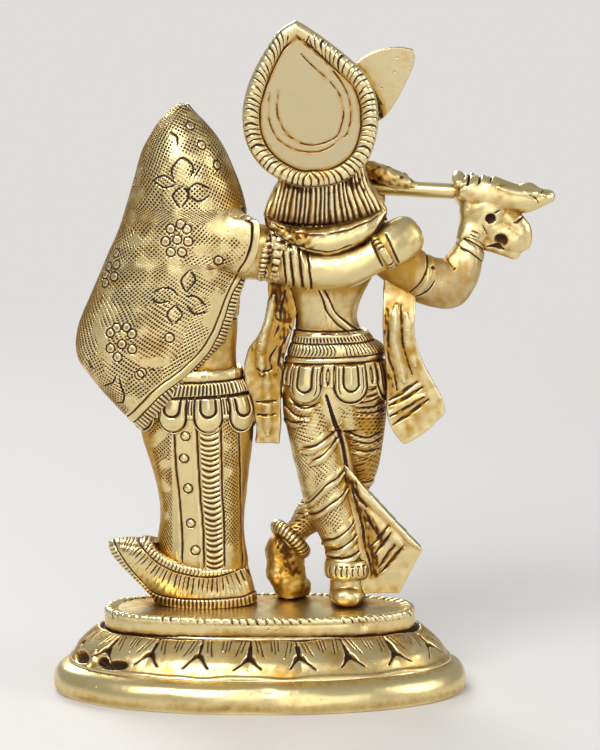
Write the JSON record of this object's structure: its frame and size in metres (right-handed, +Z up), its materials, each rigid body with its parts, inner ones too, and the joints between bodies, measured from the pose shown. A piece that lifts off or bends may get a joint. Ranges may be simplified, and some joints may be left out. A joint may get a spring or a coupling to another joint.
{
  "type": "hindu deity statue",
  "caption": "Cast brass statuette of Radha and Krishna, who plays a flute, standing side by side on an oval lotus base.",
  "frame": {"origin": "middle of the oval underside of the base, on the plane it stands on", "axes": "+Z up; the figures face -Y; +X is the side where Radha stands, the viewer's right from the front"},
  "size_m": [0.1122, 0.0516, 0.15],
  "materials": {
    "cast_brass": "satin cast brass, worn pale on the high surfaces, amber in the hollows, brown-black in the engraved lines"
  },
  "bodies": {
    "root": {"base_foot": "cast_brass", "crown_cap": "cast_brass", "crown_feather": "cast_brass", "crown_plate": "cast_brass", "dhoti_tail": "cast_brass", "figure_tenons": "cast_brass", "flute": "cast_brass", "krishna_anklets": "cast_brass", "krishna_girdle": "cast_brass", "krishna_hair": "cast_brass", "krishna_head": "cast_brass", "krishna_hips": "cast_brass", "krishna_left_arm": "cast_brass", "krishna_left_foot": "cast_brass", "krishna_left_hand": "cast_brass", "krishna_left_leg": "cast_brass", "krishna_necklace": "cast_brass", "krishna_right_arm": "cast_brass", "krishna_right_foot": "cast_brass", "krishna_right_hand": "cast_brass", "krishna_right_leg": "cast_brass", "krishna_scarf": "cast_brass", "krishna_torso": "cast_brass", "left_sash": "cast_brass", "lotus_tier": "cast_brass", "radha_armlets": "cast_brass", "radha_crown": "cast_brass", "radha_feet": "cast_brass", "radha_flounce": "cast_brass", "radha_girdle": "cast_brass", "radha_head": "cast_brass", "radha_left_arm": "cast_brass", "radha_left_hand": "cast_brass", "radha_necklace": "cast_brass", "radha_right_arm": "cast_brass", "radha_skirt": "cast_brass", "radha_torso": "cast_brass", "radha_veil": "cast_brass", "right_sash": "cast_brass", "standing_plate": "cast_brass"}
  },
  "joints": []
}
